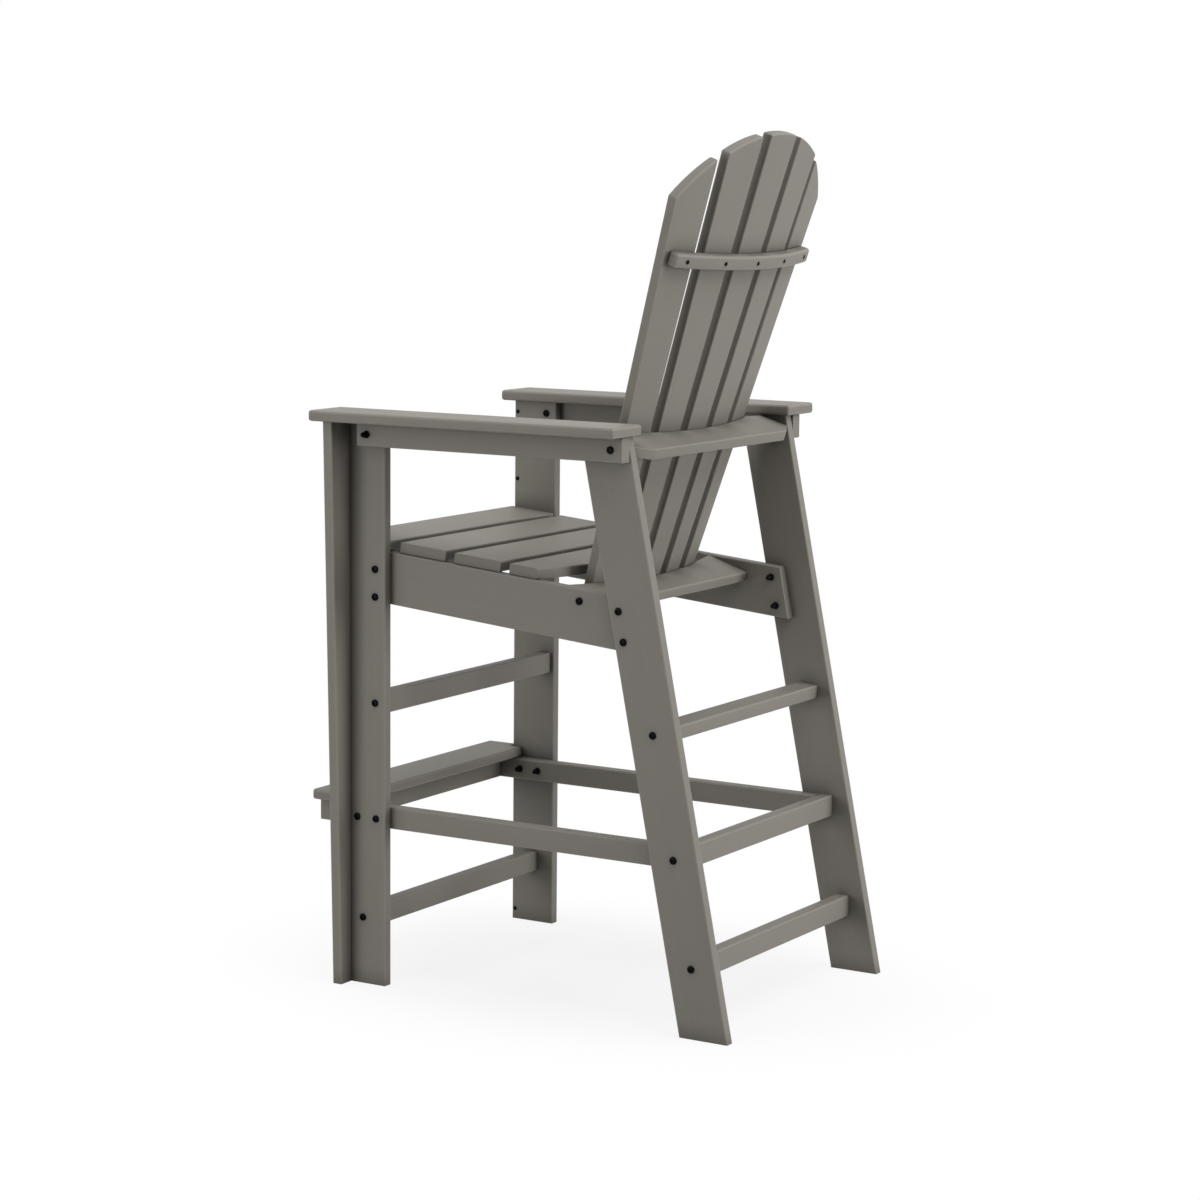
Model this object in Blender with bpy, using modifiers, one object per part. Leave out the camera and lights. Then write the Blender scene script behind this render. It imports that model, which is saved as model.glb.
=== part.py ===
"""A bar-height slatted armchair of recycled-plastic lumber, bolted together from flat boards.

Metres, +Z up, standing on z = 0 with the origin under the middle of its footprint.
The sitter faces -Y, so the sitter's left side is +X. Depths are measured back from
the front face of the front legs and turned into world places by world_y().
"""

from math import acos, asin, cos, pi, radians, sin, sqrt, tan

import bmesh
import bpy
from mathutils import Matrix, Vector

# Stock
BOARD_THICKNESS = 0.019
LEG_WIDTH = 0.0905
SEAT_RAIL_WIDTH = 0.0912
ARM_WIDTH = 0.095
FOOTREST_WIDTH = 0.089
STRETCHER_WIDTH = 0.0388
STRETCHER_THICKNESS = 0.025
ARM_RAIL_WIDTH = 0.0415
ARM_RAIL_THICKNESS = 0.025
EDGE_RADIUS = 0.003
ROUTED_RADIUS = 0.0045
SAWN_EDGE_SHARE = 0.3
FIT_GAP = 0.0003

# Frame
FRAME_WIDTH = 0.570
ARM_UNDERSIDE = 0.9935
REAR_FOOT_DEPTH = 0.6851
REAR_LEG_LEAN = radians(11.53)
RIB_FOOT_REACH = 0.0310
RIB_HEAD_REACH = 0.0575
ARM_INNER_OVERHANG = 0.010
ARM_FRONT_OVERHANG = 0.0246
ARM_REAR_OVERHANG = 0.0103
ARM_RAIL_FRONT_DEPTH = 0.0494

# Seat
SEAT_SLOPE = radians(5.05)
SEAT_RAIL_TOP = 0.7747
SEAT_RAIL_FRONT_DEPTH = 0.003
SEAT_RAIL_END_SETBACK = 0.0529
SEAT_FRONT_OVERHANG = 0.008
SEAT_SLAT_COUNT = 4
SEAT_SLAT_GAP = 0.0178
SEAT_SLAT_END_INSET = 0.006
SEAT_REAR_BULGE = 0.039
SEAT_BACK_GAP = 0.0232

# Back
BACK_RECLINE = radians(17.97)
BACK_CURVE_RADIUS = 0.966
BACK_SLAT_COUNT = 5
BACK_SLAT_FOOT_WIDTH = 0.0517
BACK_SLAT_HEAD_WIDTH = 0.0880
BACK_SLAT_GAP = 0.0227
BACK_RISE = 0.5264
BACK_HEAD_RADIUS = 0.321
UPPER_SUPPORT_ARM_CLEARANCE = 0.001
UPPER_SUPPORT_REAR = 0.0556
UPPER_SUPPORT_CLIP_LENGTH = 0.037
UPPER_SUPPORT_CLIP_DEPTH = 0.020
LOWER_SUPPORT_REAR = 0.0555
BRACE_HEIGHT = 0.025
BRACE_DEPTH = 0.021
BRACE_RISE = 0.305
BRACE_HALF_SPAN = 0.2325

# Stretchers and footrest
UPPER_STRETCHER_HEIGHT = 0.503
SIDE_STRETCHER_HEIGHT = 0.298
LOWER_STRETCHER_HEIGHT = 0.119
LOWER_FRONT_STRETCHER_DEPTH = 0.044
SIDE_STRETCHER_REACH = 0.062
FOOTREST_REACH = 0.066
FOOTREST_RAIL_REACH = 0.023
FOOTREST_NOTCH_CLEARANCE = 0.003

# Bolts
BOLT_DIAMETER = 0.0064
BOLT_HOLE_CLEARANCE = 0.0004
BOLT_HEAD_DIAMETER = 0.013
BOLT_HEAD_HEIGHT = 0.0035
CAP_NUT_HEIGHT = 0.015
BOLT_END_REACH = 0.045
BOLT_LEG_INSET = 0.0205
REAR_BOLT_LEG_INSET = 0.0185
FRONT_RAIL_BOLT_SPOTS = (0.34, 0.867)
REAR_RAIL_BOLT_SPOTS = (0.247, 0.80)
UPPER_SUPPORT_BOLT_LEG_INSET = 0.022
LOWER_SUPPORT_BOLT_DROP = 0.021
SUPPORT_BOLT_SETBACK = 0.0175
ROUND_SEGMENTS = 12

LUMBER_GREY = (0.218, 0.203, 0.182, 1.0)
BOLT_BLACK = (0.010, 0.010, 0.011, 1.0)

# Places that follow from the sizes above
leg_outer = FRAME_WIDTH / 2
leg_inner = leg_outer - BOARD_THICKNESS
inner_rail_outer = leg_inner - FIT_GAP
inner_rail_inner = inner_rail_outer - BOARD_THICKNESS
side_stretcher_inner = inner_rail_outer - STRETCHER_THICKNESS
outer_rail_inner = leg_outer + FIT_GAP
outer_rail_outer = outer_rail_inner + ARM_RAIL_THICKNESS
arm_inner = leg_inner - ARM_INNER_OVERHANG
frame_top = ARM_UNDERSIDE - FIT_GAP
rear_leg_level_width = LEG_WIDTH / cos(REAR_LEG_LEAN)
front_bolt_depth = LEG_WIDTH - BOLT_LEG_INSET
arm_rail_height = frame_top - ARM_RAIL_WIDTH / 2
chair_middle_depth = (REAR_FOOT_DEPTH + rear_leg_level_width - FOOTREST_REACH) / 2


def world_y(depth):
    return depth - chair_middle_depth


def rear_leg_front(height):
    return REAR_FOOT_DEPTH - height * tan(REAR_LEG_LEAN)


def rear_leg_middle(height):
    return rear_leg_front(height) + rear_leg_level_width / 2


def rear_leg_rear(height):
    return rear_leg_front(height) + rear_leg_level_width


def seat_rail_top(depth):
    return SEAT_RAIL_TOP - depth * tan(SEAT_SLOPE)


def seat_rail_spot(depth, share):
    """Height at a share of the way down the seat rail's side."""
    return seat_rail_top(depth) - share * SEAT_RAIL_WIDTH / cos(SEAT_SLOPE)


def back_step(setback, rise):
    """How far a step behind and along the reclined back goes in depth and in height."""
    depth = setback * cos(BACK_RECLINE) + rise * sin(BACK_RECLINE)
    height = rise * cos(BACK_RECLINE) - setback * sin(BACK_RECLINE)
    return depth, height


# The upper support's bolts pass through the middle of the arm rails and through the rear legs
upper_bolt_depth = rear_leg_rear(arm_rail_height) - UPPER_SUPPORT_BOLT_LEG_INSET
upper_bolt_step = back_step(SUPPORT_BOLT_SETBACK, -BOARD_THICKNESS / 2)
back_depth = upper_bolt_depth - upper_bolt_step[0]
back_height = arm_rail_height - upper_bolt_step[1]


def back_place(setback, rise):
    """Depth and height of a point behind and along the reclined back."""
    depth, height = back_step(setback, rise)
    return back_depth + depth, back_height + height


def lower_support_bolt_rise():
    """Rise at which the lower support's bolts keep their drop below the seat rail's top."""
    bolt_depth, bolt_height = back_place(SUPPORT_BOLT_SETBACK, 0)
    wanted = seat_rail_top(bolt_depth) - LOWER_SUPPORT_BOLT_DROP
    return (wanted - bolt_height) / (cos(BACK_RECLINE) + tan(SEAT_SLOPE) * sin(BACK_RECLINE))


lower_support_top = lower_support_bolt_rise() + BOARD_THICKNESS / 2
back_slat_foot = lower_support_top - BOARD_THICKNESS
back_slat_taper = (BACK_SLAT_HEAD_WIDTH - BACK_SLAT_FOOT_WIDTH) / (BACK_RISE - back_slat_foot)


def back_slat_width(rise):
    return BACK_SLAT_FOOT_WIDTH + back_slat_taper * (rise - back_slat_foot)


def seat_top_at_back():
    """How far along the seat's top the middle back slat's front face comes down to it."""
    face_depth, face_height = back_place(-BOARD_THICKNESS, 0)
    drop = face_depth * sin(SEAT_SLOPE) + (face_height - SEAT_RAIL_TOP) * cos(SEAT_SLOPE) - BOARD_THICKNESS
    rise = -drop / cos(BACK_RECLINE - SEAT_SLOPE)
    depth, height = back_place(-BOARD_THICKNESS, rise)
    return depth * cos(SEAT_SLOPE) - (height - SEAT_RAIL_TOP) * sin(SEAT_SLOPE)


seat_length = seat_top_at_back() - SEAT_BACK_GAP + SEAT_FRONT_OVERHANG
seat_slat_width = (seat_length - (SEAT_SLAT_COUNT - 1) * SEAT_SLAT_GAP) / SEAT_SLAT_COUNT
seat_slat_pitch = seat_slat_width + SEAT_SLAT_GAP
back_slat_pitch = back_slat_width(0) + BACK_SLAT_GAP
outer_slat = (BACK_SLAT_COUNT - 1) // 2

# Collections and materials
for old in list(bpy.data.objects):
    bpy.data.objects.remove(old, do_unlink=True)
chair = bpy.data.collections.new("bar_chair")
cutters = bpy.data.collections.new("bar_chair_cutters")
bpy.context.scene.collection.children.link(chair)
bpy.context.scene.collection.children.link(cutters)


def material(name, colour, roughness, metallic):
    made = bpy.data.materials.new(name)
    made.use_nodes = True
    shader = made.node_tree.nodes["Principled BSDF"]
    shader.inputs["Base Color"].default_value = colour
    shader.inputs["Roughness"].default_value = roughness
    shader.inputs["Metallic"].default_value = metallic
    return made


lumber = material("plastic_lumber", LUMBER_GREY, 0.62, 0.0)
bolt_steel = material("black_bolt", BOLT_BLACK, 0.35, 0.6)


def place(name, mesh, matrix, finish):
    made = bpy.data.objects.new(name, mesh)
    made.matrix_world = matrix
    made.data.materials.append(finish)
    chair.objects.link(made)
    return made


def mark_edges(shape, end_share):
    """Bevel weights: full along the board's length, and a share of that round its ends."""
    corners = [vert.co for vert in shape.verts]
    extent = [max(co[axis] for co in corners) - min(co[axis] for co in corners) for axis in range(3)]
    length = extent.index(max(extent))
    weight = shape.edges.layers.float.new("bevel_weight_edge")
    for edge in shape.edges:
        run = (edge.verts[1].co - edge.verts[0].co).normalized()
        if edge.calc_face_angle() > radians(40):
            edge[weight] = 1.0 if abs(run[length]) > 0.9 else end_share


def round_edges(board, radius):
    bevel = board.modifiers.new("eased_edges", "BEVEL")
    bevel.width = radius
    bevel.segments = 2
    bevel.limit_method = "WEIGHT"
    return board


def straight_board(name, low, high, matrix=None, radius=EDGE_RADIUS, end_share=SAWN_EDGE_SHARE):
    """A board with square ends between two opposite corners."""
    size = Vector(abs(b - a) for a, b in zip(low, high))
    shape = bmesh.new()
    bmesh.ops.create_cube(shape, size=1.0)
    bmesh.ops.scale(shape, vec=size, verts=shape.verts)
    mark_edges(shape, end_share)
    mesh = bpy.data.meshes.new(name)
    shape.to_mesh(mesh)
    shape.free()
    middle = Matrix.Translation((Vector(low) + Vector(high)) / 2)
    return round_edges(place(name, mesh, (matrix or Matrix()) @ middle, lumber), radius)


def sawn_board(name, outline, thickness, matrix, radius=EDGE_RADIUS, end_share=SAWN_EDGE_SHARE):
    """A board sawn to an outline, its thickness centred on the outline's plane."""
    curve = bpy.data.curves.new(name, "CURVE")
    curve.dimensions = "2D"
    curve.fill_mode = "BOTH"
    curve.extrude = thickness / 2
    spline = curve.splines.new("POLY")
    spline.points.add(len(outline) - 1)
    for point, (x, y) in zip(spline.points, outline):
        point.co = (x, y, 0, 1)
    spline.use_cyclic_u = True
    drawn = bpy.data.objects.new(name, curve)
    chair.objects.link(drawn)
    sheet = bpy.context.evaluated_depsgraph_get()
    mesh = bpy.data.meshes.new_from_object(drawn.evaluated_get(sheet))
    bpy.data.objects.remove(drawn, do_unlink=True)
    shape = bmesh.new()
    shape.from_mesh(mesh)
    bmesh.ops.remove_doubles(shape, verts=shape.verts, dist=1e-6)
    bmesh.ops.dissolve_limit(shape, angle_limit=radians(0.5), verts=shape.verts, edges=shape.edges)
    bmesh.ops.recalc_face_normals(shape, faces=shape.faces)
    mark_edges(shape, end_share)
    shape.to_mesh(mesh)
    shape.free()
    mesh.name = name
    return round_edges(place(name, mesh, matrix, lumber), radius)


def drill(board, *holes):
    for hole in holes:
        cut = board.modifiers.new("bolt_hole", "BOOLEAN")
        cut.operation = "DIFFERENCE"
        cut.solver = "EXACT"
        cut.object = hole


def side_plane(x):
    """Outline x runs along world Y and outline y up, on a plane facing +X."""
    return Matrix.Translation((x, 0, 0)) @ Matrix(((0, 0, 1, 0), (1, 0, 0, 0), (0, 1, 0, 0), (0, 0, 0, 1)))


def front_plane(y):
    """Outline x runs along world X and outline y up, on a plane facing -Y."""
    return Matrix.Translation((0, y, 0)) @ Matrix.Rotation(pi / 2, 4, "X")


seat_plane = Matrix.Translation((0, world_y(0), SEAT_RAIL_TOP)) @ Matrix.Rotation(-SEAT_SLOPE, 4, "X")
back_plane = Matrix.Translation((0, world_y(back_depth), back_height)) @ Matrix.Rotation(-BACK_RECLINE, 4, "X")


# Bolts and the holes they pass through
def domed_head(head):
    return (0, BOLT_HEAD_HEIGHT), (0.6 * head, 0.85 * BOLT_HEAD_HEIGHT), (head, 0.35 * BOLT_HEAD_HEIGHT)


def cap_nut(head):
    return (
        (0, CAP_NUT_HEIGHT),
        (0.38 * head, 0.90 * CAP_NUT_HEIGHT),
        (0.66 * head, 0.60 * CAP_NUT_HEIGHT),
        (0.74 * head, 0.16 * CAP_NUT_HEIGHT),
        (head, 0.12 * CAP_NUT_HEIGHT),
    )


def bolt(name, side, face, tip, depth, height, outer_end=domed_head):
    """A bolt along X, its head or nut on the outer face, and the hole drilled for it."""
    radius = BOLT_DIAMETER / 2
    head = BOLT_HEAD_DIAMETER / 2
    reach = face - tip
    profile = outer_end(head) + ((head, 0), (radius, 0), (radius, -reach), (0, -reach))
    mesh = bpy.data.meshes.new(name)
    mesh.from_pydata([(x, 0, z) for x, z in profile], [(i, i + 1) for i in range(len(profile) - 1)], [])
    outward = Matrix.Rotation(side * pi / 2, 4, "Y")
    seat = Matrix.Translation((side * (face + FIT_GAP), world_y(depth), height)) @ outward
    made = place(name, mesh, seat, bolt_steel)
    turn = made.modifiers.new("turned", "SCREW")
    turn.steps = ROUND_SEGMENTS
    turn.render_steps = ROUND_SEGMENTS
    turn.use_merge_vertices = True
    turn.merge_threshold = 0.00001
    hole_shape = bmesh.new()
    hole_radius = radius + BOLT_HOLE_CLEARANCE
    hole_length = reach + 3 * BOLT_HOLE_CLEARANCE + BOLT_DIAMETER
    bmesh.ops.create_cone(
        hole_shape,
        cap_ends=True,
        segments=ROUND_SEGMENTS,
        radius1=hole_radius,
        radius2=hole_radius,
        depth=hole_length,
    )
    bmesh.ops.translate(
        hole_shape,
        vec=(0, 0, BOLT_DIAMETER - hole_length / 2),
        verts=hole_shape.verts,
    )
    hole_mesh = bpy.data.meshes.new(name + "_hole")
    hole_shape.to_mesh(hole_mesh)
    hole_shape.free()
    hole = bpy.data.objects.new(name + "_hole", hole_mesh)
    hole.matrix_world = seat
    hole.hide_render = True
    hole.display_type = "WIRE"
    cutters.objects.link(hole)
    return hole


bolt_holes = {}
for side, hand in ((1, "left"), (-1, "right")):
    through_tip = inner_rail_inner + 0.001
    end_tip = leg_inner - BOLT_END_REACH
    arm_tip = leg_inner + 0.001
    for order, share in enumerate(FRONT_RAIL_BOLT_SPOTS, 1):
        bolt_holes["seat_front", order, side] = bolt(
            f"seat_rail_front_bolt_{order}_{hand}", side, leg_outer, through_tip,
            front_bolt_depth, seat_rail_spot(front_bolt_depth, share))
    for order, share in enumerate(REAR_RAIL_BOLT_SPOTS, 1):
        spot = seat_rail_spot(rear_leg_front(SEAT_RAIL_TOP - SEAT_RAIL_WIDTH), share)
        bolt_holes["seat_rear", order, side] = bolt(
            f"seat_rail_rear_bolt_{order}_{hand}", side, leg_outer, through_tip,
            rear_leg_front(spot) + REAR_BOLT_LEG_INSET, spot)
    bolt_holes["arm_front", side] = bolt(
        f"arm_rail_bolt_{hand}", side, outer_rail_outer, arm_tip,
        front_bolt_depth, arm_rail_height, cap_nut)
    bolt_holes["upper_support", side] = bolt(
        f"upper_support_bolt_{hand}", side, outer_rail_outer, end_tip,
        upper_bolt_depth, arm_rail_height)
    bolt_holes["lower_support", side] = bolt(
        f"lower_support_bolt_{hand}", side, inner_rail_outer, inner_rail_inner - BOLT_END_REACH,
        *back_place(SUPPORT_BOLT_SETBACK, lower_support_bolt_rise()))
    bolt_holes["upper_front", side] = bolt(
        f"upper_front_stretcher_bolt_{hand}", side, leg_outer, end_tip,
        front_bolt_depth, UPPER_STRETCHER_HEIGHT)
    bolt_holes["lower_front", side] = bolt(
        f"lower_front_stretcher_bolt_{hand}", side, leg_outer, end_tip,
        LOWER_FRONT_STRETCHER_DEPTH, LOWER_STRETCHER_HEIGHT)
    for level, height in (
        ("upper", UPPER_STRETCHER_HEIGHT),
        ("middle", SIDE_STRETCHER_HEIGHT),
        ("lower", LOWER_STRETCHER_HEIGHT),
    ):
        bolt_holes[level + "_rear", side] = bolt(
            f"{level}_rear_stretcher_bolt_{hand}", side, leg_outer, end_tip, rear_leg_middle(height), height)


# Legs, ribs, arms and the rails along each side
def seat_rail_outline():
    """The rail's side view: both edges slope with the seat, and the rear end follows the leg."""
    front = SEAT_RAIL_FRONT_DEPTH
    slope, lean = tan(SEAT_SLOPE), tan(REAR_LEG_LEAN)
    end_at_floor = rear_leg_rear(0) - SEAT_RAIL_END_SETBACK
    corners = []
    for drop in (0, SEAT_RAIL_WIDTH / cos(SEAT_SLOPE)):
        height = SEAT_RAIL_TOP - drop
        end = (end_at_floor - lean * height) / (1 - lean * slope)
        corners.append(((world_y(front), height - slope * front), (world_y(end), height - slope * end)))
    (top_front, top_end), (foot_front, foot_end) = corners
    return [foot_front, foot_end, top_end, top_front]


for side, hand in ((1, "left"), (-1, "right")):
    front_leg = straight_board(
        f"front_leg_{hand}",
        (side * leg_inner, world_y(0), 0),
        (side * leg_outer, world_y(LEG_WIDTH), frame_top))
    for key in (("seat_front", 1), ("seat_front", 2), ("arm_front",), ("upper_front",), ("lower_front",)):
        drill(front_leg, bolt_holes[key + (side,)])

    rib_inner = side * outer_rail_inner
    sawn_board(
        f"front_leg_rib_{hand}",
        [
            (rib_inner, 0),
            (side * (leg_outer + RIB_FOOT_REACH), 0),
            (side * (leg_outer + RIB_HEAD_REACH), frame_top),
            (rib_inner, frame_top),
        ],
        BOARD_THICKNESS,
        front_plane(world_y(BOARD_THICKNESS / 2)))

    leg_middle = side * (leg_inner + leg_outer) / 2
    rear_leg = sawn_board(
        f"rear_leg_{hand}",
        [
            (world_y(rear_leg_front(0)), 0),
            (world_y(rear_leg_rear(0)), 0),
            (world_y(rear_leg_rear(frame_top)), frame_top),
            (world_y(rear_leg_front(frame_top)), frame_top),
        ],
        BOARD_THICKNESS,
        side_plane(leg_middle))
    for key in (
        ("seat_rear", 1), ("seat_rear", 2), ("upper_support",),
        ("upper_rear",), ("middle_rear",), ("lower_rear",),
    ):
        drill(rear_leg, bolt_holes[key + (side,)])

    arm_rail = straight_board(
        f"arm_rail_{hand}",
        (side * outer_rail_inner, world_y(ARM_RAIL_FRONT_DEPTH), frame_top - ARM_RAIL_WIDTH),
        (side * outer_rail_outer, world_y(rear_leg_rear(arm_rail_height)), frame_top))
    drill(arm_rail, bolt_holes["arm_front", side], bolt_holes["upper_support", side])

    arm_rear = rear_leg_rear(frame_top) + ARM_REAR_OVERHANG
    straight_board(
        f"armrest_{hand}",
        (side * arm_inner, world_y(-ARM_FRONT_OVERHANG), ARM_UNDERSIDE),
        (side * (arm_inner + ARM_WIDTH), world_y(arm_rear), ARM_UNDERSIDE + BOARD_THICKNESS),
        radius=ROUTED_RADIUS, end_share=1.0)

    rail_middle = side * (inner_rail_outer + inner_rail_inner) / 2
    seat_rail = sawn_board(
        f"seat_rail_{hand}", seat_rail_outline(), BOARD_THICKNESS, side_plane(rail_middle))
    for key in (
        ("seat_front", 1), ("seat_front", 2), ("seat_rear", 1), ("seat_rear", 2), ("lower_support",),
    ):
        drill(seat_rail, bolt_holes[key + (side,)])


# Seat apron and slats
def arc_points(start, end, bulge, count):
    """Points of a circular arc between two points on a line across, swelling by bulge at the middle."""
    half = (end[0] - start[0]) / 2
    radius = (half * half + bulge * bulge) / (2 * bulge)
    middle_x, base_y = (start[0] + end[0]) / 2, start[1]
    sweep = asin(half / radius)
    turns = [sweep * (2 * step / count - 1) for step in range(count + 1)]
    return [(middle_x + radius * sin(t), base_y + bulge - radius * (1 - cos(t))) for t in turns]


apron_half = inner_rail_inner - FIT_GAP
apron_rear = SEAT_RAIL_FRONT_DEPTH + BOARD_THICKNESS
apron_top = seat_rail_top(apron_rear)
straight_board(
    "seat_apron",
    (-apron_half, world_y(SEAT_RAIL_FRONT_DEPTH), apron_top - SEAT_RAIL_WIDTH),
    (apron_half, world_y(apron_rear), apron_top))

seat_slat_half = inner_rail_outer - SEAT_SLAT_END_INSET
for order in range(SEAT_SLAT_COUNT - 1):
    half = leg_inner - FIT_GAP if order == 0 else seat_slat_half
    front = order * seat_slat_pitch - SEAT_FRONT_OVERHANG
    straight_board(
        f"seat_slat_{order + 1}",
        (-half, front, FIT_GAP),
        (half, front + seat_slat_width, FIT_GAP + BOARD_THICKNESS),
        seat_plane)

last_front = (SEAT_SLAT_COUNT - 1) * seat_slat_pitch - SEAT_FRONT_OVERHANG
last_end = last_front + seat_slat_width - SEAT_REAR_BULGE
rear_curve = arc_points((seat_slat_half, last_end), (-seat_slat_half, last_end), SEAT_REAR_BULGE, 16)
sawn_board(
    f"seat_slat_{SEAT_SLAT_COUNT}",
    [(-seat_slat_half, last_front), (seat_slat_half, last_front)] + rear_curve,
    BOARD_THICKNESS,
    seat_plane @ Matrix.Translation((0, 0, FIT_GAP + BOARD_THICKNESS / 2)))


# Back slats, and the boards whose front edges are cut in flats to seat them
def slat_turn(order):
    return order * back_slat_pitch / BACK_CURVE_RADIUS


def slat_lean(order, rise):
    """How far a slat's centre line has fanned out at a height, measured across the slat."""
    return order * back_slat_taper * rise


def slat_rear_point(order, across, clear):
    """A point across a slat's rear face, on the plan of the back: (x, setback)."""
    turn = slat_turn(order)
    x = (BACK_CURVE_RADIUS + clear) * sin(turn) + across * cos(turn)
    setback = (BACK_CURVE_RADIUS + clear) * cos(turn) - BACK_CURVE_RADIUS - across * sin(turn)
    return x, setback


def slat_flats(rise, margin):
    """The flats that seat the slats at a height, from the -X end to the +X end."""
    half = back_slat_width(rise) / 2 + margin
    points = []
    for order in range(-outer_slat, outer_slat + 1):
        for edge in (-half, half):
            points.append(slat_rear_point(order, slat_lean(order, rise) + edge, FIT_GAP))
    return points


def flats_to_width(rise, half_width, furthest_forward=-1.0):
    """The same flats, run on to the ends of a board, or turned back there to stay under the arms."""
    points = slat_flats(rise, BACK_SLAT_GAP / 4)
    near_x, near_setback = points[-1]
    straight_setback = near_setback - (half_width - near_x) * tan(slat_turn(outer_slat))
    end_setback = max(straight_setback, furthest_forward)
    return [(-half_width, end_setback)] + points + [(half_width, end_setback)]


def back_slat_outline(order):
    """Tapered sides, a level foot, and a head cut to the arc that all the slats share."""
    offset = order * back_slat_pitch
    centre_rise = BACK_RISE - BACK_HEAD_RADIUS

    def edge(rise, sign):
        return slat_lean(order, rise) + sign * back_slat_width(rise) / 2

    def head(across):
        return centre_rise + sqrt(BACK_HEAD_RADIUS**2 - (offset + across) ** 2)

    corners = []
    for sign in (1, -1):
        rise = centre_rise
        for _ in range(20):
            rise = head(edge(rise, sign))
        corners.append(edge(rise, sign))
    turns = [acos((offset + across) / BACK_HEAD_RADIUS) for across in corners]
    steps = 6
    top = []
    for step in range(steps + 1):
        turn = turns[0] + (turns[1] - turns[0]) * step / steps
        top.append((BACK_HEAD_RADIUS * cos(turn) - offset, centre_rise + BACK_HEAD_RADIUS * sin(turn)))
    return [(edge(back_slat_foot, -1), back_slat_foot), (edge(back_slat_foot, 1), back_slat_foot)] + top


for number, order in enumerate(range(outer_slat, -outer_slat - 1, -1), 1):
    turn = slat_turn(order)
    x, setback = slat_rear_point(order, 0, -BOARD_THICKNESS / 2)
    facing = Matrix(
        (
            (cos(turn), 0, -sin(turn), x),
            (-sin(turn), 0, -cos(turn), setback),
            (0, 1, 0, 0),
            (0, 0, 0, 1),
        )
    )
    sawn_board(
        f"back_slat_{number}", back_slat_outline(order), BOARD_THICKNESS, back_plane @ facing, end_share=1.0)

upper_half = leg_inner - FIT_GAP
upper_rear_half = upper_half - UPPER_SUPPORT_CLIP_LENGTH
arm_limit = -(ARM_UNDERSIDE - UPPER_SUPPORT_ARM_CLEARANCE - back_height) / sin(BACK_RECLINE)
upper_support = sawn_board(
    "upper_back_support",
    flats_to_width(-BOARD_THICKNESS / 2, upper_half, arm_limit)
    + [
        (upper_half, UPPER_SUPPORT_REAR - UPPER_SUPPORT_CLIP_DEPTH),
        (upper_rear_half, UPPER_SUPPORT_REAR),
        (-upper_rear_half, UPPER_SUPPORT_REAR),
        (-upper_half, UPPER_SUPPORT_REAR - UPPER_SUPPORT_CLIP_DEPTH),
    ],
    BOARD_THICKNESS,
    back_plane @ Matrix.Translation((0, 0, -BOARD_THICKNESS / 2)))
drill(upper_support, bolt_holes["upper_support", 1], bolt_holes["upper_support", -1])

lower_half = inner_rail_inner - FIT_GAP
lower_support = sawn_board(
    "lower_back_support",
    flats_to_width(lower_support_bolt_rise(), lower_half)
    + [(lower_half, LOWER_SUPPORT_REAR), (-lower_half, LOWER_SUPPORT_REAR)],
    BOARD_THICKNESS,
    back_plane @ Matrix.Translation((0, 0, lower_support_bolt_rise())))
drill(lower_support, bolt_holes["lower_support", 1], bolt_holes["lower_support", -1])

brace_radius = BACK_CURVE_RADIUS + BRACE_DEPTH
brace_turn = asin(BRACE_HALF_SPAN / brace_radius)
brace_front_reach = (BACK_CURVE_RADIUS + FIT_GAP) / cos(brace_turn - slat_turn(outer_slat))
brace_end = (brace_front_reach * sin(brace_turn), brace_front_reach * cos(brace_turn) - BACK_CURVE_RADIUS)
brace_rear = []
for step in range(17):
    turn = brace_turn * (1 - step / 8)
    brace_rear.append((brace_radius * sin(turn), brace_radius * cos(turn) - BACK_CURVE_RADIUS))
sawn_board(
    "back_brace",
    [(-brace_end[0], brace_end[1])]
    + slat_flats(BRACE_RISE, BACK_SLAT_GAP / 4)[1:-1]
    + [brace_end]
    + brace_rear,
    BRACE_HEIGHT,
    back_plane @ Matrix.Translation((0, 0, BRACE_RISE)),
    radius=ROUTED_RADIUS, end_share=1.0)


# Stretchers and footrest
def cross_stretcher(name, depth, height, holes, half=leg_inner - FIT_GAP, tall=True, tilt=0.0):
    """A board across the chair, on edge or lying flat, its ends against the side boards."""
    across = STRETCHER_THICKNESS / 2 if tall else STRETCHER_WIDTH / 2
    up = STRETCHER_WIDTH / 2 if tall else STRETCHER_THICKNESS / 2
    middle = Matrix.Translation((0, world_y(depth), height)) @ Matrix.Rotation(-tilt, 4, "X")
    board = straight_board(name, (-half, -across, -up), (half, across, up), middle)
    drill(board, *holes)
    return board


def hole_pair(key):
    return bolt_holes[key, 1], bolt_holes[key, -1]


cross_stretcher(
    "upper_front_stretcher", front_bolt_depth, UPPER_STRETCHER_HEIGHT, hole_pair("upper_front"))
cross_stretcher(
    "lower_front_stretcher", LOWER_FRONT_STRETCHER_DEPTH, LOWER_STRETCHER_HEIGHT, hole_pair("lower_front"))
cross_stretcher(
    "upper_rear_stretcher", rear_leg_middle(UPPER_STRETCHER_HEIGHT), UPPER_STRETCHER_HEIGHT,
    hole_pair("upper_rear"), tall=False, tilt=SEAT_SLOPE)
cross_stretcher(
    "middle_rear_stretcher", rear_leg_middle(SIDE_STRETCHER_HEIGHT), SIDE_STRETCHER_HEIGHT,
    hole_pair("middle_rear"))
cross_stretcher(
    "lower_rear_stretcher", rear_leg_middle(LOWER_STRETCHER_HEIGHT), LOWER_STRETCHER_HEIGHT,
    hole_pair("lower_rear"))
cross_stretcher(
    "footrest_rail", -FOOTREST_RAIL_REACH, SIDE_STRETCHER_HEIGHT, (), half=side_stretcher_inner - FIT_GAP)

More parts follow.
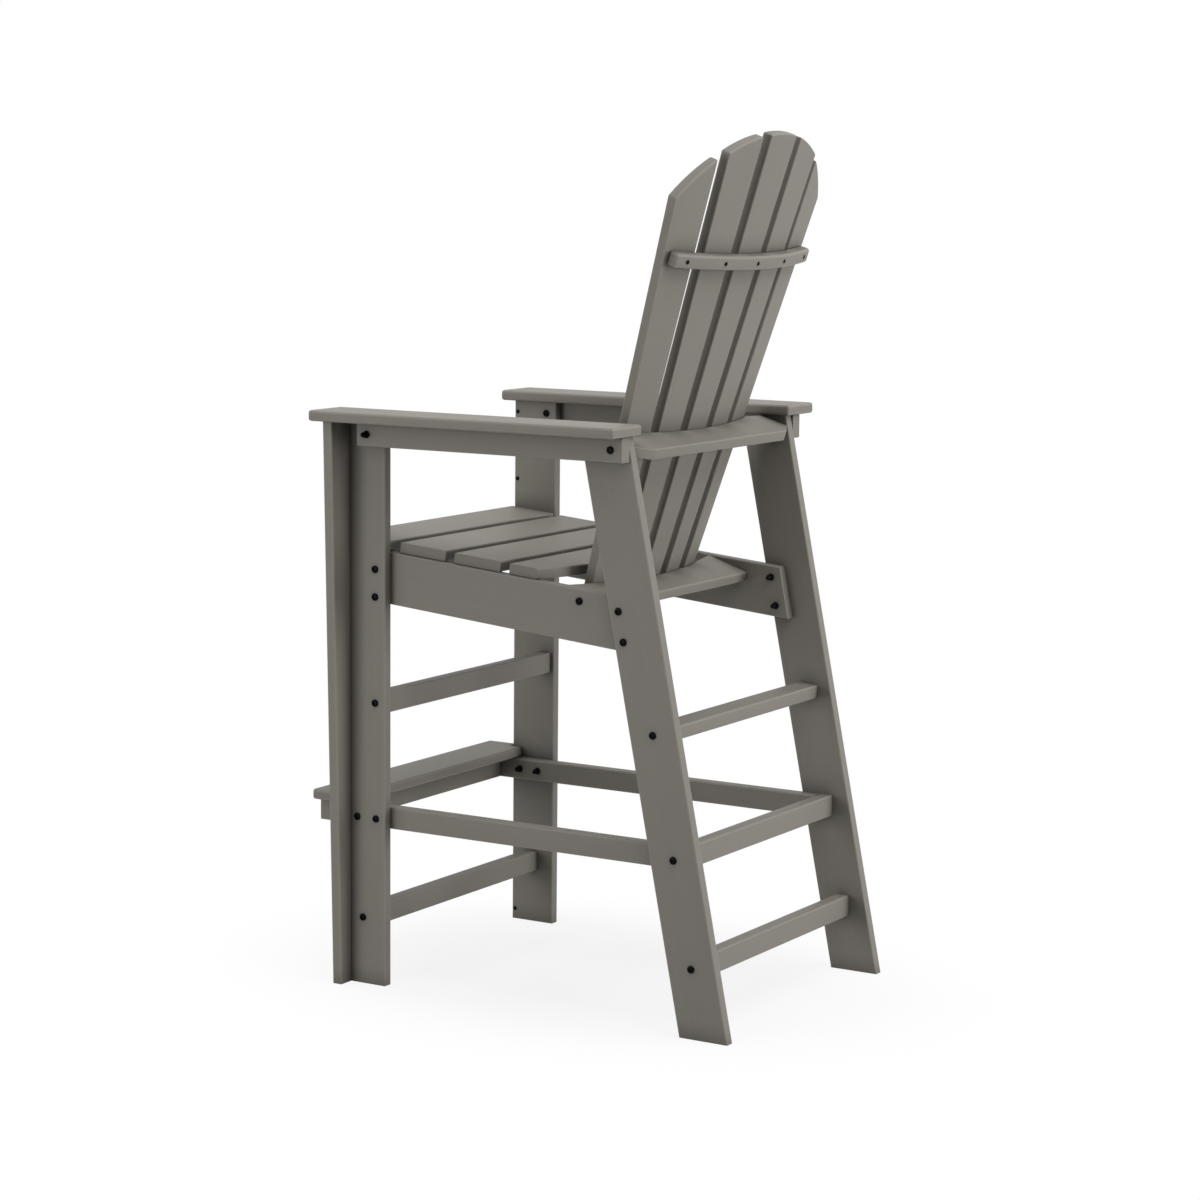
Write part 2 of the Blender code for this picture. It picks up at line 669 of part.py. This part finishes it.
side_stretcher_end = rear_leg_middle(SIDE_STRETCHER_HEIGHT) - STRETCHER_THICKNESS / 2 - FIT_GAP
side_stretcher_top = SIDE_STRETCHER_HEIGHT + STRETCHER_WIDTH / 2
for side, hand in ((1, "left"), (-1, "right")):
    straight_board(
        f"side_stretcher_{hand}",
        (side * side_stretcher_inner, world_y(-SIDE_STRETCHER_REACH), side_stretcher_top - STRETCHER_WIDTH),
        (side * inner_rail_outer, world_y(side_stretcher_end), side_stretcher_top))

footrest_front = world_y(-FOOTREST_REACH)
footrest_rear = footrest_front + FOOTREST_WIDTH
notch_front = world_y(-FOOTREST_NOTCH_CLEARANCE)
notch_inner = leg_inner - FOOTREST_NOTCH_CLEARANCE
sawn_board(
    "footrest",
    [
        (-leg_outer, footrest_front),
        (leg_outer, footrest_front),
        (leg_outer, notch_front),
        (notch_inner, notch_front),
        (notch_inner, footrest_rear),
        (-notch_inner, footrest_rear),
        (-notch_inner, notch_front),
        (-leg_outer, notch_front),
    ],
    BOARD_THICKNESS,
    Matrix.Translation((0, 0, side_stretcher_top + FIT_GAP + BOARD_THICKNESS / 2)),
    radius=ROUTED_RADIUS, end_share=1.0)

for piece in chair.objects:
    piece.data.shade_smooth()
    piece.data.set_sharp_from_angle(angle=radians(35))
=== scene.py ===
"""The looks of a bar-height slatted armchair of grey plastic lumber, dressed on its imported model."""

from itertools import count
from math import atan2, cos, pi, radians, sin

import bmesh
import bpy
from mathutils import Matrix, Vector


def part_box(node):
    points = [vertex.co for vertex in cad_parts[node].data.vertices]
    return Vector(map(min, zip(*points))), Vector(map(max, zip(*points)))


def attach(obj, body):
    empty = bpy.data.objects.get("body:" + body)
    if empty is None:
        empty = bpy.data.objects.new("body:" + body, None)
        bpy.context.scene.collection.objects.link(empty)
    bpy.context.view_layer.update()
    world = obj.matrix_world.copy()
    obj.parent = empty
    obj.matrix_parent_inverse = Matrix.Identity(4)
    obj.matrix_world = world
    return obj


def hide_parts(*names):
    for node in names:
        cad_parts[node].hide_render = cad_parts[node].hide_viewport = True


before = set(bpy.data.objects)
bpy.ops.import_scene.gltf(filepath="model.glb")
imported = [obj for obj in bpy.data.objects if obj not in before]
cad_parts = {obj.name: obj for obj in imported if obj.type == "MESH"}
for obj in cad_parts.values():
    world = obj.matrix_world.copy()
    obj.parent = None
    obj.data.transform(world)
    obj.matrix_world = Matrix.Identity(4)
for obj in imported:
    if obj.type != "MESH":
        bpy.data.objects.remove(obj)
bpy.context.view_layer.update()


# Front legs. Upright boards of extruded, through-coloured plastic lumber, brushed along their
# length and with routed edges. Every other board of the chair is cut from the same stock.
class Wire:
    """A shader value: arithmetic on it adds Math nodes, and node() adds any other kind."""

    def __init__(self, tree, socket=None):
        self.tree = tree
        self.socket = socket

    def node(self, kind, settings, sockets, output=0):
        made = self.tree.nodes.new(kind)
        for name, value in settings.items():
            setattr(made, name, value)
        for name, value in sockets.items():
            if isinstance(value, Wire):
                self.tree.links.new(value.socket, made.inputs[name])
            else:
                made.inputs[name].default_value = value
        return Wire(self.tree, made.outputs[output])

    def math(self, operation, first, second):
        return self.node("ShaderNodeMath", {"operation": operation}, {0: first, 1: second})

    def __add__(self, other):
        return self.math("ADD", self, other)

    def __sub__(self, other):
        return self.math("SUBTRACT", self, other)

    def __mul__(self, other):
        return self.math("MULTIPLY", self, other)

    def __rsub__(self, other):
        return self.math("SUBTRACT", other, self)

    __radd__ = __add__
    __rmul__ = __mul__

    def noise(self, scale, detail, roughness=0.5):
        """Noise over this vector, stretched by a scale for each of its directions."""
        spread = self.node("ShaderNodeMapping", {}, {"Vector": self, "Scale": scale})
        sockets = {"Vector": spread, "Scale": 1.0, "Detail": detail, "Roughness": roughness}
        return self.node("ShaderNodeTexNoise", {}, sockets)

    def mix(self, first, second):
        """A colour this far from the first to the second."""
        sockets = {0: self, 6: first, 7: second}
        return self.node("ShaderNodeMix", {"data_type": "RGBA"}, sockets, 2)


def plain_material(name, **sockets):
    """A new material, its shader with these constants set, and a start for its wires."""
    made = bpy.data.materials.new(name)
    made.use_nodes = True
    shader = made.node_tree.nodes["Principled BSDF"]
    for socket, value in sockets.items():
        shader.inputs[socket.replace("_", " ")].default_value = value
    return made, shader, Wire(made.node_tree)


def finish_material(made, shader, **wires):
    """Feeds the shader's sockets with what changes over the surface."""
    for socket, wire in wires.items():
        made.node_tree.links.new(wire.socket, shader.inputs[socket.replace("_", " ")])
    return made


DARK_GREY = (0.184, 0.172, 0.150, 1.0)
PALE_GREY = (0.267, 0.250, 0.220, 1.0)
# Paler eased edges: partly wear, partly a painted highlight along the rounded edges.
WORN_AND_HIGHLIT_GREY = (0.292, 0.274, 0.244, 1.0)
WORN_AND_HIGHLIT_SHARE = 0.5
# Painted shade: a dark colour mixed in where ambient occlusion finds nearby parts, in joints and
# crevices.
PAINTED_SHADE = (0.040, 0.036, 0.031, 1.0)
PAINTED_SHADE_REACH = 0.035
PAINTED_SHADE_SHARE = 0.85
STREAK_SCALE = (5.0, 170.0, 170.0)
FIBRE_SCALE = (45.0, 1100.0, 1100.0)
MOTTLE_SCALE = (6.0, 14.0, 14.0)
SAW_LINE_SCALE = (30.0, 900.0, 40.0)
BRUSH_STRENGTH = 0.22
BRUSH_DEPTH = 0.0005


def lumber_material():
    """Grey plastic lumber: streaks, mottling, wear and a painted highlight on edges, painted shade in
    joints.
    """
    made, shader, wire = plain_material("grey_lumber", Specular_IOR_Level=0.2)
    stock = wire.node("ShaderNodeAttribute", {"attribute_name": "stock"}, {}, 1)
    eased = wire.node("ShaderNodeAttribute", {"attribute_name": "eased"}, {}, 2)
    sawn = wire.node("ShaderNodeAttribute", {"attribute_name": "sawn"}, {}, 2)
    streaks = stock.noise(STREAK_SCALE, 4.0, 0.6)
    fibres = stock.noise(FIBRE_SCALE, 2.0)
    mottle = stock.noise(MOTTLE_SCALE, 2.0)
    saw_lines = stock.noise(SAW_LINE_SCALE, 2.0)
    tone = 0.26 + streaks * 0.28 + fibres * 0.10 + mottle * 0.20 - sawn * 0.10
    body = tone.mix(DARK_GREY, PALE_GREY)
    # Eased edges lightened: wear and a painted highlight.
    worn_and_highlit = (eased * WORN_AND_HIGHLIT_SHARE).mix(body, WORN_AND_HIGHLIT_GREY)
    # Painted shade: joints and gaps between boards darkened in the colour by ambient occlusion.
    open_air = wire.node("ShaderNodeAmbientOcclusion", {"samples": 8}, {"Distance": PAINTED_SHADE_REACH}, "AO")
    painted_shade_colour = ((1.0 - open_air) * PAINTED_SHADE_SHARE).mix(worn_and_highlit, PAINTED_SHADE)
    rough = 0.44 + streaks * 0.12 + mottle * 0.08 + sawn * 0.12 - eased * 0.05
    flat = 1.0 - sawn
    relief = streaks * flat * 0.5 + fibres * flat * 0.3 + saw_lines * sawn * 0.7
    sockets = {"Strength": BRUSH_STRENGTH, "Distance": BRUSH_DEPTH, "Height": relief}
    bump = wire.node("ShaderNodeBump", {}, sockets)
    return finish_material(made, shader, Base_Color=painted_shade_colour, Roughness=rough, Normal=bump)


lumber = lumber_material()
STOCK_STEP = 1.7
stock_starts = count(0.0, STOCK_STEP)
MERGE_WITHIN = 1e-6
FLAT_WITHIN = radians(0.3)
# Cosines that tell a board's flat sides, its edges and its sawn ends apart.
SQUARE_ON = 0.98
EDGE_ON = 0.05
END_ON = 0.6


def dressed_board(node, along, across):
    """A copy of a CAD board with rounded shading that carries its stock's own coordinates."""
    along = Vector(along).normalized()
    across = Vector(across).normalized()
    through = along.cross(across)
    shape = bmesh.new()
    shape.from_mesh(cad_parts[node].data)
    bmesh.ops.remove_doubles(shape, verts=shape.verts, dist=MERGE_WITHIN)
    bmesh.ops.dissolve_limit(
        shape,
        angle_limit=FLAT_WITHIN,
        verts=shape.verts,
        edges=shape.edges,
    )
    stock = shape.verts.layers.float_vector.new("stock")
    eased = shape.faces.layers.float.new("eased")
    sawn = shape.faces.layers.float.new("sawn")
    start = next(stock_starts)
    for vert in shape.verts:
        vert[stock] = (along.dot(vert.co) + start, across.dot(vert.co), through.dot(vert.co))
    for face in shape.faces:
        facing = abs(through.dot(face.normal))
        endways = abs(along.dot(face.normal))
        face[eased] = 1.0 if EDGE_ON < facing < SQUARE_ON else 0.0
        face[sawn] = 1.0 if endways > END_ON and facing < EDGE_ON else 0.0
        face.smooth = True
    mesh = bpy.data.meshes.new(node + "_board")
    shape.to_mesh(mesh)
    shape.free()
    mesh.materials.clear()
    mesh.materials.append(lumber)
    board = bpy.data.objects.new(node + "_board", mesh)
    bpy.context.scene.collection.objects.link(board)
    weighted = board.modifiers.new("flat_faces", "WEIGHTED_NORMAL")
    weighted.keep_sharp = True
    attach(board, "root")
    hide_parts(node)


for hand in ("left", "right"):
    dressed_board(f"front_leg_{hand}", (0, 0, 1), (0, 1, 0))

# Front leg ribs. Boards sawn to a taper and screwed on edge to the outside of the front legs,
# flush with their front faces, so that each front leg is an angle in plan.
for hand in ("left", "right"):
    dressed_board(f"front_leg_rib_{hand}", (0, 0, 1), (1, 0, 0))

# Rear legs. Straight boards that lean forward towards the arms, cut level at the floor and
# under the arm.
REAR_LEG_LEAN = radians(11.53)
for hand in ("left", "right"):
    dressed_board(
        f"rear_leg_{hand}",
        (0, -sin(REAR_LEG_LEAN), cos(REAR_LEG_LEAN)),
        (0, cos(REAR_LEG_LEAN), sin(REAR_LEG_LEAN)),
    )

# Arm rails. Thicker, narrow boards bolted to the outer faces of the legs, level with their tops,
# to carry the arms.
for hand in ("left", "right"):
    dressed_board(f"arm_rail_{hand}", (0, 1, 0), (0, 0, 1))

# Arms. Flat boards laid on the legs and the arm rails, overhanging at the front and the rear,
# fixed from below.
for hand in ("left", "right"):
    dressed_board(f"armrest_{hand}", (0, 1, 0), (1, 0, 0))

# Seat rails. Wide boards bolted to the inner faces of the legs, sloping down to the rear, with
# the rear end sawn parallel to the rear leg.
SEAT_SLOPE = radians(5.05)
down_seat = (0, cos(SEAT_SLOPE), -sin(SEAT_SLOPE))
off_seat = (0, sin(SEAT_SLOPE), cos(SEAT_SLOPE))
for hand in ("left", "right"):
    dressed_board(f"seat_rail_{hand}", down_seat, off_seat)

# Stretchers. Narrow boards between the legs, their ends bolted through the legs; the upper rear
# one lies flat, and the side ones run on in front of the front legs to carry the footrest.
for place in ("upper_front", "lower_front", "middle_rear", "lower_rear"):
    dressed_board(f"{place}_stretcher", (1, 0, 0), (0, 0, 1))
dressed_board("upper_rear_stretcher", (1, 0, 0), down_seat)
for hand in ("left", "right"):
    dressed_board(f"side_stretcher_{hand}", (0, 1, 0), (0, 0, 1))

# Footrest. A flat board notched round the front legs, laid on the side stretchers and on a rail
# between them, and fixed from below.
dressed_board("footrest_rail", (1, 0, 0), (0, 0, 1))
dressed_board("footrest", (1, 0, 0), (0, 1, 0))

# Seat apron. A board on edge between the front ends of the seat rails, under the first slat, that
# keeps the rails apart; screwed through the rails.
dressed_board("seat_apron", (1, 0, 0), (0, 0, 1))

# Seat slats. Boards across the seat rails, fixed from below; the rear one is sawn to an arc that
# follows the curve of the back.
for number in range(1, 5):
    dressed_board(f"seat_slat_{number}", (1, 0, 0), down_seat)

# Back supports and brace. Flat boards with their front edges cut to seat the slats, bolted between
# the rear legs and between the seat rails, and a curved strip screwed on behind the slats.
BACK_RECLINE = radians(17.97)
up_back = Vector((0, sin(BACK_RECLINE), cos(BACK_RECLINE)))
behind_back = Vector((0, cos(BACK_RECLINE), -sin(BACK_RECLINE)))
for node in ("upper_back_support", "lower_back_support", "back_brace"):
    dressed_board(node, (1, 0, 0), behind_back)

# Back slats. Tapered boards fanned out and turned to face the sitter, their heads sawn to one arc,
# seated on the two supports and screwed to the brace.
SLAT_ORDERS = (2, 1, 0, -1, -2)
SLAT_TURN = radians(5.18)
SLAT_LEAN = 0.0443
for number, order in enumerate(SLAT_ORDERS, 1):
    turn = order * SLAT_TURN
    sideways = Vector((cos(turn), 0, 0)) - behind_back * sin(turn)
    dressed_board(f"back_slat_{number}", up_back + sideways * order * SLAT_LEAN, sideways)


# Bolts. Black coated steel, with low domed heads and hexagon sockets, through the legs into the
# rails, the ends of the stretchers and the back supports. The front bolts of the arm rails are
# put in from the inside and end in cap nuts.
DEEP_BLACK = (0.002, 0.002, 0.002, 1.0)
SCUFFED_BLACK = (0.006, 0.006, 0.006, 1.0)
SCUFF_SCALE = (420.0, 420.0, 420.0)
GRAIN_SCALE = (2600.0, 2600.0, 2600.0)
GRAIN_STRENGTH = 0.12
GRAIN_DEPTH = 0.0001


def bolt_material():
    """Black coating on steel: faint scuffs in its tone and a fine grain."""
    made, shader, wire = plain_material("black_coating", Specular_IOR_Level=0.04)
    place = wire.node("ShaderNodeTexCoord", {}, {}, 3)
    grains = place.noise(GRAIN_SCALE, 2.0)
    scuffs = place.noise(SCUFF_SCALE, 3.0)
    tone = scuffs.mix(DEEP_BLACK, SCUFFED_BLACK)
    rough = 0.20 + scuffs * 0.14 + grains * 0.06
    sockets = {"Strength": GRAIN_STRENGTH, "Distance": GRAIN_DEPTH, "Height": grains}
    bump = wire.node("ShaderNodeBump", {}, sockets)
    return finish_material(made, shader, Base_Color=tone, Roughness=rough, Normal=bump)


black_coating = bolt_material()
TURNED_SIDES = 24
SHARP_ANGLE = radians(38)


def turned(name, rings, place, direction):
    """A fastener of (radius, height, flats) rings along a direction; a ring of 0 flats is round."""
    shape = bmesh.new()
    loop = bmesh.ops.create_circle(shape, segments=TURNED_SIDES, radius=1.0)["verts"]
    for number, (radius, height, flats) in enumerate(rings):
        if number:
            rim = [edge for edge in shape.edges if edge.verts[0] in loop and edge.verts[1] in loop]
            grown = bmesh.ops.extrude_edge_only(shape, edges=rim)["geom"]
            loop = [part for part in grown if isinstance(part, bmesh.types.BMVert)]
        for vert in loop:
            turn = atan2(vert.co.y, vert.co.x)
            reach = radius
            if flats:
                step = 2 * pi / flats
                reach *= cos(step / 2) / cos(turn % step - step / 2)
            vert.co = (reach * cos(turn), reach * sin(turn), height)
    bmesh.ops.holes_fill(shape, edges=[edge for edge in shape.edges if edge.is_boundary])
    bmesh.ops.recalc_face_normals(shape, faces=shape.faces)
    facing = Vector(direction).to_track_quat("Z", "Y").to_matrix().to_4x4()
    bmesh.ops.transform(shape, matrix=Matrix.Translation(place) @ facing, verts=shape.verts)
    mesh = bpy.data.meshes.new(name)
    shape.to_mesh(mesh)
    shape.free()
    mesh.shade_smooth()
    mesh.set_sharp_from_angle(angle=SHARP_ANGLE)
    mesh.materials.append(black_coating)
    made = bpy.data.objects.new(name, mesh)
    bpy.context.scene.collection.objects.link(made)
    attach(made, "root")
    return made


BOLT_HEAD = 0.0065
BOLT_HEAD_HEIGHT = 0.0035
BOLT_SOCKET = 0.0028
BOLT_SHANK = 0.0032
HEAD_TURNS = (pi / 2, 1.2, 0.8, 0.4)
CAP_NUT_HEIGHT = 0.015
FLANGE_EDGE = 0.0004
FLANGE_SHOULDER = 0.0013
FLANGE_TOP = 0.0018
CAP_TURNS = (0, 0.35, 0.7, 1.05, 1.4)


def socket_head(head, height, socket, flats):
    """Rings of a low domed head with a socket sunk in its top."""
    rings = [(0.94 * head, 0, 0), (head, 0.1 * height, 0)]
    for turn in HEAD_TURNS:
        rings.append((socket + (head - socket) * sin(turn), height * (0.3 + 0.7 * cos(turn)), 0))
    return rings + [(socket, height, flats), (socket, 0.4 * height, flats)]


def shank(reach):
    """Rings of a bolt's plain shank, with its end chamfered."""
    return [(0.7 * BOLT_SHANK, -reach, 0), (BOLT_SHANK, BOLT_SHANK - reach, 0), (BOLT_SHANK, 0, 0)]


def cap_nut():
    """Rings of a flanged hexagon nut with a domed cap."""
    flange, body, cap = BOLT_HEAD, 0.84 * BOLT_HEAD, 0.70 * BOLT_HEAD
    shoulder, crown = 0.45 * CAP_NUT_HEIGHT, 0.62 * CAP_NUT_HEIGHT
    rings = [(0.94 * flange, 0, 0), (flange, FLANGE_EDGE, 0), (0.97 * flange, FLANGE_SHOULDER, 0)]
    rings += [(body, FLANGE_TOP, 6), (body, 0.9 * shoulder, 6), (cap, shoulder, 0)]
    for turn in CAP_TURNS:
        rings.append((cap * cos(turn), crown + (CAP_NUT_HEIGHT - crown) * sin(turn), 0))
    return rings


bolt_head = socket_head(BOLT_HEAD, BOLT_HEAD_HEIGHT, BOLT_SOCKET, flats=6)
sides_of_chair = (("left", 1), ("right", -1))
through_bolts = [
    "seat_rail_front_bolt_1",
    "seat_rail_front_bolt_2",
    "seat_rail_rear_bolt_1",
    "seat_rail_rear_bolt_2",
]
end_bolts = [
    "upper_support_bolt",
    "lower_support_bolt",
    "upper_front_stretcher_bolt",
    "lower_front_stretcher_bolt",
    "upper_rear_stretcher_bolt",
    "middle_rear_stretcher_bolt",
    "lower_rear_stretcher_bolt",
]


def middle_of(node):
    """How far back and how high the middle of a piece lies."""
    low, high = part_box(node)
    return (low.y + high.y) / 2, (low.z + high.z) / 2


for hand, side in sides_of_chair:
    for name in through_bolts + end_bolts + ["arm_rail_bolt"]:
        low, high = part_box(f"{name}_{hand}")
        outer_end, height = bolt_head, BOLT_HEAD_HEIGHT
        if name == "arm_rail_bolt":
            outer_end, height = cap_nut(), CAP_NUT_HEIGHT
        top = max(abs(low.x), abs(high.x))
        seat = (side * (top - height), *middle_of(f"{name}_{hand}"))
        rings = shank(high.x - low.x - height) + outer_end
        made = turned(f"{name}_{hand}_turned", rings, seat, (side, 0, 0))
        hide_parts(f"{name}_{hand}")

# Side stretcher bolts, inner heads and cap nuts. Two bolts through each front leg into the side
# stretcher, nuts on the inner faces where bolts pass right through, and the arm rail bolts' heads.
SIDE_BOLT_PLACES = (-0.3235, -0.2842)
SEAT_GAP = 0.0003


def inner_face(node):
    """How far from the chair's middle plane a piece's inner face lies."""
    low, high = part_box(node)
    return min(abs(low.x), abs(high.x))


for hand, side in sides_of_chair:
    leg_low, leg_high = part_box(f"front_leg_{hand}")
    leg_outer = max(abs(leg_low.x), abs(leg_high.x))
    stretcher_height = middle_of(f"side_stretcher_{hand}")[1]
    nut_places = []
    for number, y in enumerate(SIDE_BOLT_PLACES, 1):
        seat = (side * (leg_outer + SEAT_GAP), y, stretcher_height)
        turned(f"side_stretcher_bolt_{number}_{hand}", bolt_head, seat, (side, 0, 0))
        nut_places.append((inner_face(f"side_stretcher_{hand}"), y, stretcher_height))
    for name in through_bolts:
        nut_places.append((inner_face(f"seat_rail_{hand}"), *middle_of(f"{name}_{hand}")))
    for number, (x, y, z) in enumerate(nut_places, 1):
        turned(f"cap_nut_{number}_{hand}", cap_nut(), (side * (x - SEAT_GAP), y, z), (-side, 0, 0))
    inside = inner_face(f"front_leg_{hand}") - SEAT_GAP
    seat = (side * inside, *middle_of(f"arm_rail_bolt_{hand}"))
    turned(f"arm_rail_bolt_head_{hand}", bolt_head, seat, (-side, 0, 0))

# Screws. Small black coated steel screws with square sockets, through the front legs into the ribs
# and through the brace into each back slat.
SCREW_HEAD = 0.0037
SCREW_HEAD_HEIGHT = 0.0012
SCREW_SOCKET = 0.0016
RIB_SCREW_HEIGHTS = (0.973, 0.847, 0.020)
RIB_SCREW_SETBACK = 0.007
screw_head = socket_head(SCREW_HEAD, SCREW_HEAD_HEIGHT, SCREW_SOCKET, flats=4)
for hand, side in sides_of_chair:
    leg_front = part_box(f"front_leg_{hand}")[0].y
    inside = inner_face(f"front_leg_{hand}") - SEAT_GAP
    for number, z in enumerate(RIB_SCREW_HEIGHTS, 1):
        seat = (side * inside, leg_front + RIB_SCREW_SETBACK, z)
        turned(f"rib_screw_{number}_{hand}", screw_head, seat, (-side, 0, 0))

BACK_FOOT = Vector((0, 0.18764, 0.98689))
BRACE_RISE = 0.305
BRACE_RADIUS = 0.987
SLAT_CURVE = 0.966
SCREW_TURN = radians(5.98)
brace_centre = BACK_FOOT + up_back * BRACE_RISE - behind_back * SLAT_CURVE
for number, order in enumerate(SLAT_ORDERS, 1):
    turn = order * SCREW_TURN
    outward = Vector((sin(turn), 0, 0)) + behind_back * cos(turn)
    seat = brace_centre + outward * (BRACE_RADIUS + SEAT_GAP)
    turned(f"brace_screw_{number}", screw_head, seat, outward)


# Floor. A pale, matt studio floor under the chair. It keeps the chair's soft shadow and runs out
# to white round it.
def white_seen(wire):
    """One for rays from the camera, in reflections or through clear things, which see white."""
    kinds = ("Camera", "Glossy", "Transmission")
    seen = [wire.node("ShaderNodeLightPath", {}, {}, f"Is {kind} Ray") for kind in kinds]
    return wire.math("MAXIMUM", wire.math("MAXIMUM", seen[0], seen[1]), seen[2])


FLOOR_HALF = 60.0
FLOOR_GREY = (0.40, 0.40, 0.40, 1.0)
FLOOR_GREY_SEEN = (0.90, 0.90, 0.90, 1.0)
WHITE = (1.0, 1.0, 1.0, 1.0)
SHADOW_REACH = (0.45, 0.60)
SHADOW_FADE = {"From Min": 0.4, "From Max": 1.4}
WHITE_NEAR = 0.78


def floor_material():
    """Pale grey paint that gives way to plain white where a ray sees it away from the chair."""
    made, shader, wire = plain_material("studio_floor", Roughness=0.9)
    place = wire.node("ShaderNodeTexCoord", {}, {}, 3)
    stretch = (1 / SHADOW_REACH[0], 1 / SHADOW_REACH[1], 1.0)
    spread = wire.node("ShaderNodeMapping", {}, {"Vector": place, "Scale": stretch})
    distance = wire.node("ShaderNodeVectorMath", {"operation": "LENGTH"}, {0: spread}, 1)
    ease = {"interpolation_type": "SMOOTHSTEP"}
    far = wire.node("ShaderNodeMapRange", ease, {"Value": distance, **SHADOW_FADE})
    seen = white_seen(wire)
    white = wire.node("ShaderNodeEmission", {}, {"Color": WHITE, "Strength": 1.0})
    share = seen * (WHITE_NEAR + far * (1.0 - WHITE_NEAR))
    paint = Wire(made.node_tree, shader.outputs[0])
    mixed = wire.node("ShaderNodeMixShader", {}, {0: share, 1: paint, 2: white})
    surface = made.node_tree.nodes["Material Output"].inputs["Surface"]
    made.node_tree.links.new(mixed.socket, surface)
    return finish_material(made, shader, Base_Color=seen.mix(FLOOR_GREY, FLOOR_GREY_SEEN))


floor_shape = bmesh.new()
bmesh.ops.create_grid(floor_shape, x_segments=1, y_segments=1, size=FLOOR_HALF)
floor_mesh = bpy.data.meshes.new("studio_floor")
floor_shape.to_mesh(floor_mesh)
floor_shape.free()
floor_mesh.materials.append(floor_material())
floor = bpy.data.objects.new("studio_floor", floor_mesh)
bpy.context.scene.collection.objects.link(floor)

# Light. A white room that lights the chair dimly, with broad lamps: one overhead, two behind the
# chair, and weaker ones at its left side and in front.
ROOM_LIGHT = 0.10
LAMP_AIM = Vector((0, 0, 0.65))
world = bpy.data.worlds.new("studio")
bpy.context.scene.world = world
world.use_nodes = True
backdrop = world.node_tree.nodes["Background"]
backdrop.inputs["Color"].default_value = WHITE
strength = ROOM_LIGHT + white_seen(Wire(world.node_tree)) * (1.0 - ROOM_LIGHT)
world.node_tree.links.new(strength.socket, backdrop.inputs["Strength"])


def broad_lamp(name, place, size, power):
    """A square lamp of a size in metres and a power in watts, aimed at the chair."""
    lamp = bpy.data.lights.new(name, "AREA")
    lamp.shape = "SQUARE"
    lamp.size = size
    lamp.energy = power
    hung = bpy.data.objects.new(name, lamp)
    turn = (Vector(place) - LAMP_AIM).to_track_quat("Z", "Y").to_matrix().to_4x4()
    hung.matrix_world = Matrix.Translation(place) @ turn
    bpy.context.scene.collection.objects.link(hung)


broad_lamp("top_lamp", (0.0, 0.0, 4.2), 5.0, 96.0)
broad_lamp("rear_lamp", (0.6, 3.2, 4.2), 2.6, 78.0)
broad_lamp("low_rear_lamp", (-1.2, 4.4, 1.1), 2.0, 98.0)
broad_lamp("left_lamp", (3.4, -1.3, 0.8), 1.8, 45.0)
broad_lamp("front_lamp", (0.0, -4.0, 3.0), 2.6, 52.0)

# Camera. At the photograph's angle, off the chair's left rear corner and almost as high as the
# top of its back, with the long lens that its perspective asks for.
CAMERA_PLACE = Vector((4.7000, 2.8449, 1.4395))
CAMERA_YAW = radians(58.78)
CAMERA_PITCH = radians(-7.93)
CAMERA_ROLL = radians(0.54)
CAMERA_LENS = 94.547
SENSOR_WIDTH = 36.0
ahead = Vector(
    (
        -sin(CAMERA_YAW) * cos(CAMERA_PITCH),
        -cos(CAMERA_YAW) * cos(CAMERA_PITCH),
        sin(CAMERA_PITCH),
    )
)
level = ahead.cross(Vector((0, 0, 1))).normalized()
upright = level.cross(ahead)
right = level * cos(CAMERA_ROLL) + upright * sin(CAMERA_ROLL)
up = upright * cos(CAMERA_ROLL) - level * sin(CAMERA_ROLL)
turn = Matrix((right, up, -ahead)).transposed().to_4x4()
lens = bpy.data.cameras.new("photo_camera")
lens.lens = CAMERA_LENS
lens.sensor_width = SENSOR_WIDTH
camera = bpy.data.objects.new("photo_camera", lens)
camera.matrix_world = Matrix.Translation(CAMERA_PLACE) @ turn
bpy.context.scene.collection.objects.link(camera)
bpy.context.scene.camera = camera
bpy.context.scene.view_settings.view_transform = "Standard"
